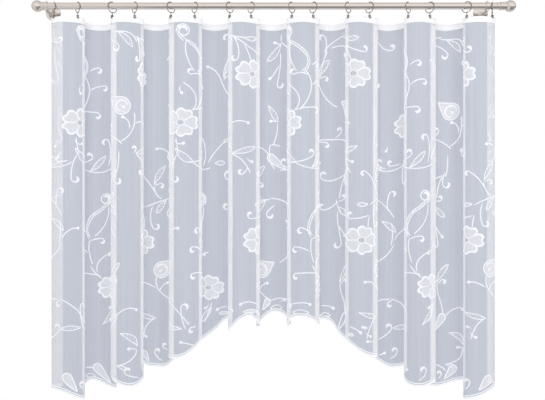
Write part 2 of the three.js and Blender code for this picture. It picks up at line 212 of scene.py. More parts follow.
# Sprigs on the hem, read in the same way and with the same columns, but millimetres along the whole cloth
# and down from the clips
HEM_CURLS = [
    (204, 1572, -135, 23, 0, 0, 11), (570, 1516, 184, 57, 12, 14, 15), (716, 1462, 208, 47, 16, 16, 13),
    (740, 1410, 200, 17, 0, 0, 11), (2225, 1452, -10, 41, -28, -30, -13), (2396, 1522, -16, 49, -24, -28, -16),
    (2560, 1540, -45, 20, 0, 0, -12), (2722, 1566, -20, 37, -28, -28, -13)]
HEM_DROPS = [
    (936, 1380, 200, 71, -4, -6), (1132, 1226, 190, 58, -20, -36), (1338, 1210, 207, 90, -20, -50),
    (1447, 1203, -30, 75, 26, 60), (1594, 1206, -15, 98, 10, 40), (1791, 1223, -12, 68, 20, 36),
    (1973, 1299, 6, 66, 20, 24), (2090, 1366, 186, 40, 0, 0), (2063, 1304, 182, 25, 0, 0),
    (2173, 1434, -6, 38, -14, -20), (2358, 1480, 172, 18, 0, 0)]
HEM_STEMS = [(248, 1489, -30, 40, 26, 30), (2548, 1474, 8, 58, 16, 30)]
# Crescents: left end along, left end down, width, rise
HEM_CRESCENTS = [
    (251, 1522, 41, 12), (1090, 1256, 42, 6), (1271, 1235, 65, 8), (1447, 1235, 51, 15), (1602, 1240, 74, 13),
    (1791, 1262, 45, 12), (1973, 1331, 23, 4)]
# Teardrops: tail along, tail down, head along, head down, size
HEM_TEARDROPS = [
    (173, 1573, 130, 1510, 18), (359, 1552, 300, 1490, 17), (655, 1460, 636, 1424, 11),
    (1412, 1240, 1434, 1206, 12), (1742, 1262, 1758, 1222, 12), (2592, 1540, 2630, 1494, 15),
    (2784, 1562, 2824, 1520, 18)]

# Studio: the tone that shows through the net, and what the metal reflects of the room and of its left part.
# The angles go round the rod from straight behind (-180), past straight down (-90) and the room (0), to
# overhead (90).
BEHIND_NET = "#6E7E99"
REFLECTED_ROOM = [
    (-180, "#8C8886"), (180, "#8C8886"), (-158, "#8C8886"), (-146, "#D0CAC6"), (-112, "#CAC4C0"),
    (-98, "#878381"), (-60, "#878381"), (-44, "#94908E"), (-24, "#A6A19E"), (-13, "#EAE5E2"),
    (14, "#EAE5E2"), (30, "#DDD8D5"), (55, "#D6D1CE"), (76, "#C2BDBA"), (110, "#BBB6B3"),
    (148, "#C2BDBA"), (160, "#8C8886")]
REFLECTED_LEFT = [
    (-180, "#9C9896"), (180, "#9C9896"), (-158, "#A29E9C"), (-146, "#B6B2B0"), (-112, "#B6B2B0"),
    (-96, "#CAC5C2"), (-60, "#CAC5C2"), (-20, "#CFCAC8"), (8, "#D6D1CE"), (40, "#DAD5D2"),
    (76, "#C8C3C0"), (150, "#C4BFBC"), (164, "#9C9896")]


# Camera, stage and light

def add_camera():
    data = bpy.data.cameras.new("camera")
    data.lens = 41.2
    data.clip_end = 50
    camera = bpy.data.objects.new("camera", data)
    camera.location = (-0.003, -2.708, -0.809)
    camera.rotation_euler = (math.radians(90), 0, 0)
    bpy.context.scene.collection.objects.link(camera)
    bpy.context.scene.camera = camera


def linear(code):
    """An sRGB hex colour as linear red, green, blue and alpha."""
    parts = [int(code[i:i + 2], 16) / 255 for i in (1, 3, 5)]
    return (*[p / 12.92 if p <= 0.04045 else ((p + 0.055) / 1.055) ** 2.4 for p in parts], 1.0)


def add(tree, kind, inputs=None, **settings):
    """Adds a node. inputs holds values or the sockets that feed it."""
    made = tree.nodes.new(kind)
    for name, value in settings.items():
        setattr(made, name, value)
    for name, value in (inputs or {}).items():
        if isinstance(value, bpy.types.NodeSocket):
            tree.links.new(value, made.inputs[name])
        else:
            made.inputs[name].default_value = value
    return made


def add_world():
    """A studio with white paper behind the part. Through the net a grey-blue shows in place of the paper.
    Metal reflects a pale room with dark bands, more even on the left, and cloth is lit evenly."""
    world = bpy.data.worlds.new("studio")
    bpy.context.scene.world = world
    world.use_nodes = True
    tree = world.node_tree
    tree.nodes.clear()
    path = add(tree, "ShaderNodeLightPath")
    paper = add(tree, "ShaderNodeBackground", {"Color": linear("#FFFFFF")})
    behind_net = add(tree, "ShaderNodeBackground", {"Color": linear(BEHIND_NET)})
    seen = add(tree, "ShaderNodeMixShader", {
        0: path.outputs["Transparent Depth"], 1: paper.outputs[0], 2: behind_net.outputs[0]})
    direction = add(tree, "ShaderNodeSeparateXYZ", {0: add(tree, "ShaderNodeTexCoord").outputs["Generated"]})
    forward = add(tree, "ShaderNodeMath", {0: direction.outputs["Y"], 1: -1.0}, operation="MULTIPLY")
    round_rod = add(
        tree, "ShaderNodeMath", {0: direction.outputs["Z"], 1: forward.outputs[0]}, operation="ARCTAN2")
    place = add(tree, "ShaderNodeMapRange", {
        "Value": round_rod.outputs[0], "From Min": -math.pi, "From Max": math.pi})
    sides = []
    for tones in (REFLECTED_LEFT, REFLECTED_ROOM):
        ramp = add(tree, "ShaderNodeValToRGB", {"Fac": place.outputs[0]})
        set_ramp(ramp, [((angle + 180) / 360, tone) for angle, tone in tones])
        sides.append(ramp.outputs[0])
    right = add(tree, "ShaderNodeMapRange", {
        "Value": direction.outputs["X"], "From Min": -0.24, "From Max": -0.18})
    reflected = add(tree, "ShaderNodeMix", {
        "Factor": right.outputs[0], "A": sides[0], "B": sides[1]}, data_type="RGBA")
    shine = add(tree, "ShaderNodeBackground", {"Color": reflected.outputs["Result"], "Strength": 1.5})
    daylight = add(tree, "ShaderNodeBackground", {"Color": linear("#F4F4F4"), "Strength": 0.92})
    unseen = add(tree, "ShaderNodeMixShader", {
        0: path.outputs["Is Glossy Ray"], 1: daylight.outputs[0], 2: shine.outputs[0]})
    mixed = add(tree, "ShaderNodeMixShader", {
        0: path.outputs["Is Camera Ray"], 1: unseen.outputs[0], 2: seen.outputs[0]})
    add(tree, "ShaderNodeOutputWorld", {"Surface": mixed.outputs[0]})


def set_ramp(node, stops):
    """Gives a colour ramp its stops, each a place and a colour."""
    elements = node.color_ramp.elements
    for i, (place, colour) in enumerate(stops):
        element = elements[i] if i < 2 else elements.new(place)
        element.position = place
        element.color = linear(colour)


def add_light(name, place, aim, size, power, colour="#FFFFFF"):
    data = bpy.data.lights.new(name, "AREA")
    data.shape = "RECTANGLE"
    data.size, data.size_y = size
    data.energy = power
    data.color = linear(colour)[:3]
    lamp = bpy.data.objects.new(name, data)
    lamp.location = place
    lamp.visible_glossy = False
    lamp.rotation_euler = (Vector(aim) - Vector(place)).to_track_quat("-Z", "Y").to_euler()
    bpy.context.scene.collection.objects.link(lamp)


def add_stage():
    add_light("window_light", (-1.6, -3.2, 0.9), (0, 0, -0.7), (2.2, 2.2), 42)
    add_light("fill_light", (2.2, -2.6, -0.2), (0, 0, -0.8), (1.8, 2.4), 26)
    add_light("back_light", (0.2, 1.8, 0.6), (0, -0.1, -0.8), (2.6, 1.6), 16)
    bm = bmesh.new()
    bmesh.ops.create_grid(bm, x_segments=1, y_segments=1, size=1)
    bmesh.ops.scale(bm, vec=(4.0, 4.0, 1.0), verts=bm.verts)
    bmesh.ops.translate(bm, vec=(0.0, -1.5, -2.55), verts=bm.verts)
    mesh = bpy.data.meshes.new("floor")
    bm.to_mesh(mesh)
    bm.free()
    mesh.materials.append(painted_floor())
    floor = bpy.data.objects.new("floor", mesh)
    bpy.context.scene.collection.objects.link(floor)
    floor.visible_glossy = False


# Materials

def new_material(name):
    """A material with its shader, ready for its nodes."""
    material = bpy.data.materials.new(name)
    material.use_nodes = True
    tree = material.node_tree
    tree.nodes.clear()
    shader = add(tree, "ShaderNodeBsdfPrincipled")
    add(tree, "ShaderNodeOutputMaterial", {"Surface": shader.outputs[0]})
    return material, tree, shader


def thread_lines(tree, coordinate, direction, spacing):
    """Fine lines across the cloth, one for each thread at that spacing in millimetres. Real threads lie less
    than a millimetre apart, too fine to show, so they are drawn two to three times as coarse."""
    lines_per_metre = 2 * math.pi / 20 / (spacing * MM)
    settings = {"Vector": coordinate, "Scale": lines_per_metre, "Distortion": 0.6, "Detail": 1.0}
    return add(tree, "ShaderNodeTexWave", settings, bands_direction=direction)


def woven_cloth(name, light, dark, threads, streak, alpha=1.0, bump=0.25, sheen=0.3):
    """Polyester yarn, warp knitted or woven: a soft white with a fine grid of threads and faint streaks down
    the cloth where a warp thread lies a little closer or wider."""
    material, tree, shader = new_material(name)
    flat = add(tree, "ShaderNodeUVMap", uv_map="flat").outputs[0]
    warp = thread_lines(tree, flat, "X", threads)
    weft = thread_lines(tree, flat, "Y", threads)
    grid = add(tree, "ShaderNodeMath", {0: warp.outputs["Fac"], 1: weft.outputs["Fac"]}, operation="MULTIPLY")
    stretched = add(tree, "ShaderNodeMapping", {"Vector": flat, "Scale": (1 / (streak * MM), 1.1, 1.0)})
    streaks = add(tree, "ShaderNodeTexNoise", {"Vector": stretched.outputs[0], "Scale": 1.0, "Detail": 3.0})
    blend = add(tree, "ShaderNodeMath", {0: grid.outputs[0], 1: 0.35, 2: streaks.outputs["Fac"]},
                operation="MULTIPLY_ADD")
    ramp = add(tree, "ShaderNodeValToRGB", {"Fac": blend.outputs[0]})
    set_ramp(ramp, [(0.3, dark), (0.95, light)])
    raised = add(tree, "ShaderNodeBump", {"Height": grid.outputs[0], "Strength": bump, "Distance": 0.3 * MM})
    tree.links.new(ramp.outputs[0], shader.inputs["Base Color"])
    tree.links.new(raised.outputs[0], shader.inputs["Normal"])
    shader.inputs["Roughness"].default_value = 0.85
    shader.inputs["Alpha"].default_value = alpha
    shader.inputs["Sheen Weight"].default_value = sheen
    return material


def satin_nickel(name, light, dark, roughness, grain, along=(1.0, 1.0, 1.0)):
    """Steel plated with nickel: a warm grey metal whose soft brushing draws each reflection out into bands."""
    material, tree, shader = new_material(name)
    place = add(tree, "ShaderNodeTexCoord").outputs["Object"]
    scaled = add(tree, "ShaderNodeMapping", {"Vector": place, "Scale": tuple(a / (grain * MM) for a in along)})
    brushing = add(tree, "ShaderNodeTexNoise", {"Vector": scaled.outputs[0], "Scale": 1.0, "Detail": 4.0})
    ramp = add(tree, "ShaderNodeValToRGB", {"Fac": brushing.outputs["Fac"]})
    set_ramp(ramp, [(0.3, dark), (0.7, light)])
    rough = add(tree, "ShaderNodeMapRange", {
        "Value": brushing.outputs["Fac"], "To Min": roughness * 0.85, "To Max": roughness * 1.15})
    raised = add(tree, "ShaderNodeBump", {
        "Height": brushing.outputs["Fac"], "Strength": 0.03, "Distance": 0.03 * MM})
    tree.links.new(ramp.outputs[0], shader.inputs["Base Color"])
    tree.links.new(rough.outputs[0], shader.inputs["Roughness"])
    tree.links.new(raised.outputs[0], shader.inputs["Normal"])
    shader.inputs["Metallic"].default_value = 1.0
    return material


def painted_floor():
    """Matt white paint, rolled: an even, pale surface that keeps the light soft."""
    material, tree, shader = new_material("matt_white_paint")
    place = add(tree, "ShaderNodeTexCoord").outputs["Object"]
    mottle = add(tree, "ShaderNodeTexNoise", {"Vector": place, "Scale": 3.0, "Detail": 2.0})
    ramp = add(tree, "ShaderNodeValToRGB", {"Fac": mottle.outputs["Fac"]})
    set_ramp(ramp, [(0.0, "#DFE1E6"), (1.0, "#E9EAEE")])
    tree.links.new(ramp.outputs[0], shader.inputs["Base Color"])
    shader.inputs["Roughness"].default_value = 0.9
    return material


# How the curtain hangs

def smooth_line(points, spacing=STEP, steps=None):
    """A smooth curve through points, each a place and any further values that go with it. It has steps
    samples from each point to the next, or enough for the spacing."""
    p = np.array(points, float)
    p = np.vstack([2 * p[0] - p[1], p, 2 * p[-1] - p[-2]])
    reach = np.sqrt(np.maximum(np.linalg.norm(np.diff(p[:, :2], axis=0), axis=1), 1e-6))
    parts = []
    for i in range(1, len(p) - 2):
        d0, d1, d2 = reach[i - 1], reach[i], reach[i + 1]
        a, b, c, d = p[i - 1:i + 3]
        start = ((b - a) / d0 - (c - a) / (d0 + d1) + (c - b) / d1) * d1
        end = ((c - b) / d1 - (d - b) / (d1 + d2) + (d - c) / d2) * d1
        count = steps or max(2, math.ceil(d1 ** 2 / spacing))
        t = np.linspace(0, 1, count, endpoint=False)[:, None]
        parts.append(b + start * t + (3 * c - 3 * b - 2 * start - end) * t ** 2
                     + (2 * b - 2 * c + start + end) * t ** 3)
    return np.vstack([*parts, p[-2]])


def plan_keys():
    """Key points along the cloth as rows of x and depth, their hem drops, the drops halfway to the next key
    point, the keys that have a clip and those in the middle of a back fold."""
    keys, drops, halfway, clips, backs = [LEFT_EDGE[:2]], [LEFT_EDGE[2]], {}, [], []
    for i, ((left, clip_left, clip_right, right), hem) in enumerate(FRONT_FOLDS):
        clips += [len(keys) + 1, len(keys) + 3]
        keys += [(left, LEFT_TURN_DEPTH), (clip_left, 0), ((clip_left + clip_right) / 2, FRONT_DEPTH),
                 (clip_right, 0), (right, RIGHT_TURN_DEPTH)]
        drops += hem
        if i == len(BACK_FOLDS):
            break
        start, end = right - TUCK, FRONT_FOLDS[i + 1][0][0] + TUCK
        halfway[len(keys)] = BACK_FOLDS[i][1]
        halfway[len(keys) + 1] = BACK_FOLDS[i][3]
        backs.append(len(keys) + 1)
        keys += [(start, BACK_TURN_DEPTH), ((start + end) / 2, BACK_DEPTH), (end, BACK_TURN_DEPTH)]
        drops += BACK_FOLDS[i][::2]
    return [*keys, RIGHT_EDGE[:2]], [*drops, RIGHT_EDGE[2]], halfway, clips, backs


KEYS, KEY_DROPS, HALFWAY, CLIP_KEYS, BACK_KEYS = plan_keys()
PLAN_STEPS = 24
PLAN = smooth_line([(x, depth - ROD_OUT) for x, depth in KEYS], steps=PLAN_STEPS)
ALONG = np.concatenate([[0], np.cumsum(np.linalg.norm(np.diff(PLAN, axis=0), axis=1))])
WIDTH = ALONG[-1]
KEY_ALONG = ALONG[::PLAN_STEPS]
FRONT_KEYS = [k + 1 for k in CLIP_KEYS[::2]]
SLOPES = np.gradient(PLAN, ALONG, axis=0)
ROOM_SIDE = np.stack([SLOPES[:, 1], -SLOPES[:, 0]], axis=1)


def hem_curve():
    """Places along the cloth where the hem's drop is given, the drops, and the slope at each."""
    pairs = list(zip(KEY_ALONG, KEY_DROPS))
    pairs += [((KEY_ALONG[k] + KEY_ALONG[k + 1]) / 2, drop) for k, drop in HALFWAY.items()]
    places, drops = np.array(sorted(pairs)).T
    low = np.maximum(np.arange(len(places)) - 1, 0)
    high = np.minimum(np.arange(len(places)) + 1, len(places) - 1)
    return places, drops, (drops[high] - drops[low]) / (places[high] - places[low])


HEM = hem_curve()


def sunk(u):
    """How far the cloth's top edge has sunk below the clips at u along it."""
    total = np.zeros_like(u, float)
    for k in BACK_KEYS:
        start, end = KEY_ALONG[k - 3], KEY_ALONG[k + 3]
        share = np.clip((u - start) / (end - start), 0, 1)
        total += SAG * np.sin(math.pi * share) ** 2
    return total


def hem_at(u):
    """Length of the cloth at u along it, from its top edge to its hem."""
    u = np.asarray(u, float)
    places, drops, slopes = HEM
    i = np.clip(np.searchsorted(places, u, side="right") - 1, 0, len(places) - 2)
    span = places[i + 1] - places[i]
    t = np.clip((u - places[i]) / span, 0, 1)
    drop = (drops[i] * (2 * t ** 3 - 3 * t ** 2 + 1) + drops[i + 1] * (3 * t ** 2 - 2 * t ** 3)
            + slopes[i] * span * (t ** 3 - 2 * t ** 2 + t) + slopes[i + 1] * span * (t ** 3 - t ** 2))
    return drop - sunk(u)


def hang(mesh):
    """Takes a mesh drawn flat, with x along the cloth, y up from its top edge and z out of it, all in
    millimetres, to the hanging curtain in metres. The flat places stay as its UV map."""
    flat = np.zeros(len(mesh.vertices) * 3)
    mesh.vertices.foreach_get("co", flat)
    flat = flat.reshape(-1, 3)
    u = flat[:, 0]
    corner = np.zeros(len(mesh.loops), int)
    mesh.loops.foreach_get("vertex_index", corner)
    layer = mesh.uv_layers.new(name="flat")
    layer.data.foreach_set("uv", (flat[corner, :2] * MM).ravel())
    x, y = [
        np.interp(u, ALONG, PLAN[:, k]) + np.interp(u, ALONG, ROOM_SIDE[:, k]) * flat[:, 2] for k in (0, 1)]
    hung = np.stack([x, y, TOP - sunk(u) + flat[:, 1]], axis=1) * MM
    mesh.vertices.foreach_set("co", hung.ravel())
    mesh.update()


def add_piece(name, mesh, material, nodes=()):
    """Makes the mesh a piece that rides on the curtain and stands for those nodes."""
    mesh.materials.clear()
    mesh.materials.append(material)
    piece = bpy.data.objects.new(name, mesh)
    bpy.context.scene.collection.objects.link(piece)
    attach(piece, "root")
    if nodes:
        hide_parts(*nodes)
    return piece


def strip_of_cloth(name, upper, lower, columns, rows, material, lift=0.0, nodes=(), crown=0.0):
    """Cloth across the whole width between two edges, each a length below the top edge for a place along it.
    crown is how far its middle stands proud of its edges."""
    bm = bmesh.new()
    bmesh.ops.create_grid(bm, x_segments=columns, y_segments=rows, size=0.5)
    for v in bm.verts:
        u, share = (v.co.x + 0.5) * WIDTH, 0.5 - v.co.y
        v.co = (u, share, lift + crown * math.sin(math.pi * share))
    mesh = bpy.data.meshes.new(name)
    bm.to_mesh(mesh)
    bm.free()
    flat = np.zeros(len(mesh.vertices) * 3)
    mesh.vertices.foreach_get("co", flat)
    flat = flat.reshape(-1, 3)
    top, bottom = upper(flat[:, 0]), lower(flat[:, 0])
    flat[:, 1] = -(top + (bottom - top) * flat[:, 1])
    mesh.vertices.foreach_set("co", flat.ravel())
    hang(mesh)
    mesh.polygons.foreach_set("use_smooth", [True] * len(mesh.polygons))
    return add_piece(name, mesh, material, nodes)


# Drawing the figure on the flat cloth, in millimetres with u along the cloth and v down from its top edge

class Drawing:
    """Lines of the figure, each an array of u, v and half its width, and outlines of its denser patches."""

    def __init__(self):
        self.lines = []
        self.patches = []

    def swollen(self, path, width, swell, over):
        """A line that thins at both ends and swells to a drop over the last stretch."""
        lengths = np.concatenate([[0], np.cumsum(np.linalg.norm(np.diff(path, axis=0), axis=1))])
        left = lengths[-1] - lengths
        share = np.clip(1 - left / over, 0, 1)
        half = width * np.clip(lengths / 12, 0.35, 1) * np.clip(left / 4, 0.4, 1)
        half = np.maximum(half, swell * np.clip(np.sin(math.pi * share ** 1.3), 0, 1) ** 0.8)
        self.lines.append(np.column_stack([path, half]))

    def stem(self, u, v, *bend):
        """A plain stem that thins at both ends."""
        self.swollen(bent(u, v, *bend), STEM, 0, 1)

    def curl(self, u, v, heading, length, first, second, radius, sweep=265):
        """A stem that ends in a turn of that radius, clockwise where it is above 0, and swells round it."""
        path = bent(u, v, heading, length, first, second)
        whole = np.vstack([path, curl_of(path, radius, sweep)[1:]])
        self.swollen(whole, STEM, KNOB, 2.2 * abs(radius) + 8)

    def drop(self, u, v, *bend):
        """A stem with a solid drop at its tip."""
        self.swollen(bent(u, v, *bend), STEM, DROP * 0.36, DROP)

    def ladder(self, middle, half):
        """Two rails on either side of a middle line, with a thread that zigzags between them."""
        slope = np.gradient(middle, axis=0)
        slope /= np.linalg.norm(slope, axis=1)[:, None]
        side = np.stack([-slope[:, 1], slope[:, 0]], axis=1) * half[:, None]
        for hand in (-1, 1):
            self.lines.append(np.column_stack([middle + side * hand, np.full(len(middle), RAIL)]))
        every = max(1, round(RUNG / STEP))
        turns = range(every, len(middle) - every, every)
        zigzag = [middle[i] + side[i] * (-1) ** n for n, i in enumerate(turns)]
        if len(zigzag) > 1:
            self.lines.append(np.column_stack([np.array(zigzag), np.full(len(zigzag), RAIL * 0.8)]))

    def leaf(self, u, v, heading, length, first, second, belly):
        """A pointed leaf of two rails with threads between them."""
        middle = bent(u, v, heading, length, first, second)
        share = np.linspace(0, 1, len(middle))
        self.ladder(middle, FULLNESS * belly * np.sin(math.pi * share ** 1.25) ** 0.8)

    def beads(self, u, v, *bend):
        """A band of even width, with threads between its rails."""
        middle = bent(u, v, *bend)
        self.ladder(middle, BEADS * np.clip(np.linspace(0, 9, len(middle)), 0.3, 1))

    def outline(self, shape, filled=True):
        """A closed line through u, v and half width, and the denser weave inside it."""
        loop = smooth_line([*shape, shape[0]])
        self.lines.append(loop)
        if filled:
            self.patches.append(loop[:, :2])

    def flower(self, u, v, size):
        """Five petals, each notched at its tip, round an oval eye of plain net."""
        wide, high = size, size * FLOWER_HEIGHT
        for petal in range(5):
            shape = []
            for lean, reach, half in PETAL:
                angle = math.radians(72 * petal + lean)
                out = EYE + (1 - EYE) * reach
                shape.append((u + wide * out * math.cos(angle), v + high * out * math.sin(angle), half))
            self.outline(shape)
        angles = np.radians(range(0, 360, 30))
        inner = 0.8 * EYE
        ring = [(u + wide * inner * math.cos(a), v + high * inner * math.sin(a), 1.6) for a in angles]
        self.outline(ring, filled=False)

    def bud(self, u, v, heading, size):
        """A pointed bud that opens away from its tip at u, v, with a crescent and a solid drop inside it."""
        ahead = math.radians(heading)
        middle = polar((u, v), ahead, size * 1.15)
        edge = [(*polar(middle, ahead + math.radians(a), size * 0.62), 2.6) for a in range(-110, 111, 22)]
        self.outline([(u, v, 3.4), *edge])
        angles = np.linspace(40, 320, 12)
        crescent = [polar(middle, ahead + math.radians(a), size * 0.42) for a in angles]
        self.lines.append(np.column_stack([crescent, 2 + 4 * np.sin(np.linspace(0, math.pi, 12))]))
        self.drop(*polar(middle, ahead, size * -0.2), heading, size * 0.5, 0, 0)

    def teardrop(self, tail_u, tail_v, head_u, head_v, size):
        """A drop with a round head and a pointed tail, its inside of the denser weave."""
        ahead = math.atan2(head_v - tail_v, head_u - tail_u)
        waist = polar((tail_u, tail_v), ahead, math.dist((tail_u, tail_v), (head_u, head_v)) * 0.45)
        sides = [(*polar(waist, ahead + hand * math.pi / 2, size * 0.55), 3) for hand in (-1, 1)]
        crown = [(*polar((head_u, head_v), ahead + math.radians(a), size), 3) for a in range(-100, 101, 40)]
        self.outline([(tail_u, tail_v, 3), sides[0], *crown, sides[1]])

    def crescent(self, u, v, width, rise):
        """A low half moon that stands on the hem."""
        top = [(u + width * s, v - rise * math.sin(math.pi * s), 2) for s in (0, 0.25, 0.5, 0.75, 1)]
        foot = [(u + width * s, v + 8 - rise * 0.4 * math.sin(math.pi * s), 2) for s in (0.75, 0.5, 0.25)]
        self.outline([*top, *foot])


def bent(u, v, heading, length, first, second):
    """Points of a stem that sets off at its heading, in degrees clockwise from the right, and turns evenly by
    first degrees over its first half and by second over the other."""
    steps = max(4, round(length / STEP))
    share = (np.arange(steps) + 0.5) / steps
    angles = np.radians(heading + first * np.minimum(share * 2, 1) + second * np.maximum(share * 2 - 1, 0))
    moves = np.column_stack([np.cos(angles), np.sin(angles)]) * length / steps
    return np.vstack([(u, v), np.array((u, v)) + np.cumsum(moves, axis=0)])


def polar(middle, angle, radius):
    return (middle[0] + radius * math.cos(angle), middle[1] + radius * math.sin(angle))


def curl_of(path, curl, sweep):
    """The turn that a stem ends in, tightening towards its tip."""
    ahead = path[-1] - path[-2]
    hand = math.copysign(1, curl)
    heading = math.atan2(ahead[1], ahead[0])
    angles = np.radians(np.linspace(0, sweep, max(8, int(abs(curl) * sweep / 180))))
    here, made = np.array(path[-1], float), []
    for k, angle in enumerate(angles):
        made.append(here.copy())
        radius = abs(curl) * (1 - 0.55 * k / len(angles))
        turned = heading + hand * angle
        here += np.array([math.cos(turned), math.sin(turned)]) * radius * (angles[1] - angles[0])
    return np.array(made)


def draw_repeat(d):
    """One repeat of the figure, as its chart lays it out."""
    charts = ((FLOWERS, d.flower), (BUDS, d.bud), (BEADED_LOOPS, d.beads), (LEAVES, d.leaf), (STEMS, d.stem),
              (CURLS, d.curl), (DROPS, d.drop), (TEARDROPS, d.teardrop))
    for rows, draw in charts:
        for row in rows:
            draw(*row)
    for row in SPIRALS:
        d.curl(*row, sweep=520)


def draw_border(d):
    """Sprigs that stand on the hem, from left to right."""
    charts = ((HEM_CURLS, d.curl), (HEM_DROPS, d.drop), (HEM_STEMS, d.stem), (HEM_CRESCENTS, d.crescent))
    for rows, draw in charts:
        for u, drop, *rest in rows:
            draw(u, drop - float(sunk(np.array(u))), *rest)
    for tail_u, tail, head_u, head, size in HEM_TEARDROPS:
        tail_v, head_v = (drop - float(sunk(np.array(u))) for u, drop in ((tail_u, tail), (head_u, head)))
        d.teardrop(tail_u, tail_v, head_u, head_v, size)


def on_cloth(line, copy):
    """A line of that repeat at its place on the cloth. The figure runs evenly over each fold and closes up in
    the turns between them, where it hardly shows."""
    middles = [KEY_ALONG[k] for k in sorted([*BACK_KEYS, *FRONT_KEYS])]
    steps = [(m + d, q + d) for m, q in zip(middles, FIGURE_AT) for d in (-EVEN, EVEN)]
    first = (middles[0] - RUN_ON, FIGURE_AT[0] - RUN_ON)
    last = (middles[-1] + RUN_ON, FIGURE_AT[-1] + RUN_ON)
    along, figure = zip(first, *steps, last)
    moved = line.copy()
    moved[:, 0] = np.interp(moved[:, 0] + copy * REPEAT, figure, along)
    return moved


def trimmed(line):
    """The stretches of a line that lie on the cloth, above the border."""
    inside = (line[:, 0] > 3) & (line[:, 0] < WIDTH - 3) & (line[:, 1] > TAPE_HEIGHT + 3)
    inside &= line[:, 1] < hem_at(line[:, 0]) - HEM_BAND - HEM_GAP - HEM_LINE + 2
    runs, start = [], None
    for i, good in enumerate([*inside, False]):
        if good and start is None:
            start = i
        if not good and start is not None:
            if i - start > 1:
                runs.append(line[start:i])
            start = None
    return runs


def woven_lines(name, lines, material):
    """Raised figure threads along the lines, as one piece. A curve's bevel gives them their round section,
    which is then pressed flat."""
    data = bpy.data.curves.new(name, "CURVE")
    data.dimensions = "3D"
    data.bevel_depth = 1.0
    data.bevel_resolution = 0
    data.use_fill_caps = True
    for line in lines:
        spline = data.splines.new("POLY")
        spline.points.add(len(line) - 1)
        places = np.column_stack([line[:, 0], -line[:, 1], np.zeros(len(line)), np.ones(len(line))])
        spline.points.foreach_set("co", places.ravel())
        spline.points.foreach_set("radius", line[:, 2])
    drawn = bpy.data.objects.new(name, data)
    bpy.context.scene.collection.objects.link(drawn)
    bpy.context.view_layer.update()
    mesh = bpy.data.meshes.new_from_object(drawn.evaluated_get(bpy.context.evaluated_depsgraph_get()))
    bpy.data.objects.remove(drawn)
    flat = np.zeros(len(mesh.vertices) * 3)
    mesh.vertices.foreach_get("co", flat)
    flat = flat.reshape(-1, 3)
    flat[:, 2] = np.clip(flat[:, 2] * 0.4, -RELIEF, RELIEF)
    mesh.vertices.foreach_set("co", flat.ravel())
    mesh.polygons.foreach_set("use_smooth", [False] * len(mesh.polygons))
    hang(mesh)
    return add_piece(name, mesh, material)


def woven_patches(name, loops, material):
    """Denser weave inside each closed outline, as one piece that lies on the net."""
    bm = bmesh.new()
    for loop in loops:
        grid = bmesh.ops.create_grid(bm, x_segments=len(loop) - 1, y_segments=PATCH_RINGS, size=0.5)
        middle = loop[:-1].mean(axis=0)
        fresh = grid["verts"]
        for v in fresh:
            edge = loop[round((v.co.x + 0.5) * (len(loop) - 1))]
            u, down = middle + (edge - middle) * (v.co.y + 0.5)
            v.co = (u, -down, 0.25)
        bmesh.ops.remove_doubles(bm, verts=fresh, dist=0.05)
    bmesh.ops.recalc_face_normals(bm, faces=bm.faces)
    mesh = bpy.data.meshes.new(name)
    bm.to_mesh(mesh)
    bm.free()
    hang(mesh)
    mesh.polygons.foreach_set("use_smooth", [True] * len(mesh.polygons))
    return add_piece(name, mesh, material)


def weave_curtain():
    """The net with its figure, border and heading tape. Returns the net and the pieces on it, and the tape."""
    # Open net: half clear, its threads far enough apart to see through
    ground = woven_cloth("polyester_marquisette_net", "#F6F6F8", "#E6E6EA", 2.4, 7, alpha=0.5)
    # Floated yarn of the figure: solid, the whitest part, with a soft shine
    figure = woven_cloth("polyester_jacquard_figure", "#F0F1F3", "#E2E4E9", 1.6, 5, bump=0.3, sheen=0.4)
    # Closer weave inside petals, buds and drops: paler than the net, still clear
    dense = woven_cloth("polyester_dense_weave", "#F6F6F8", "#ECECF0", 1.8, 5, alpha=0.5)
    # Close band under the hem's bright line: nearly solid
    hem_weave = woven_cloth("polyester_hem_band", "#FAFAFB", "#F2F3F5", 1.8, 5, alpha=0.88)
    # Plain woven tape, solid and matt
    tape_weave = woven_cloth("polyester_heading_tape", "#F4F4F6", "#E8E9EC", 2.0, 6, bump=0.6, sheen=0.2)

    net = strip_of_cloth(
        "curtain_net", lambda u: u * 0, hem_at, 720, 24, ground, nodes=["curtain_cloth"])
    tape = strip_of_cloth(
        "woven_heading_tape", lambda u: u * 0, lambda u: u * 0 + TAPE_HEIGHT, 720, 8, tape_weave,
        lift=SHEET / 2 + GAP + TAPE / 2, nodes=["heading_tape"])
    thick = tape.modifiers.new("tape_thickness", "SOLIDIFY")
    thick.thickness = TAPE * MM
    thick.offset = 0
    line_foot = HEM_BAND + HEM_GAP
    on_net = [
        strip_of_cloth(
            "hem_band", lambda u: hem_at(u) - HEM_BAND, hem_at, 720, 3, hem_weave, lift=0.3),
        strip_of_cloth(
            "hem_line", lambda u: hem_at(u) - line_foot - HEM_LINE, lambda u: hem_at(u) - line_foot, 720, 4,
            figure, lift=0.2, crown=0.5)]

    drawings = {}
    for copy in range(-1, 5):
        drawing = drawings[f"figure_{copy + 2}"] = Drawing()
        draw_repeat(drawing)
        drawing.lines = [on_cloth(line, copy) for line in drawing.lines]
        drawing.patches = [on_cloth(loop, copy) for loop in drawing.patches]
    border = drawings["figure_border"] = Drawing()
    draw_border(border)
    for name, drawing in drawings.items():
        lines = [run for line in drawing.lines for run in trimmed(line)]
        if lines:
            on_net.append(woven_lines(name, lines, figure))
        patches = [loop for loop in drawing.patches if [len(run) for run in trimmed(loop)] == [len(loop)]]
        if patches:
            on_net.append(woven_patches(f"{name}_dense", patches, dense))
    return net, on_net, tape


# Rod, rings, clips, rod ends and brackets, in millimetres until they are finished

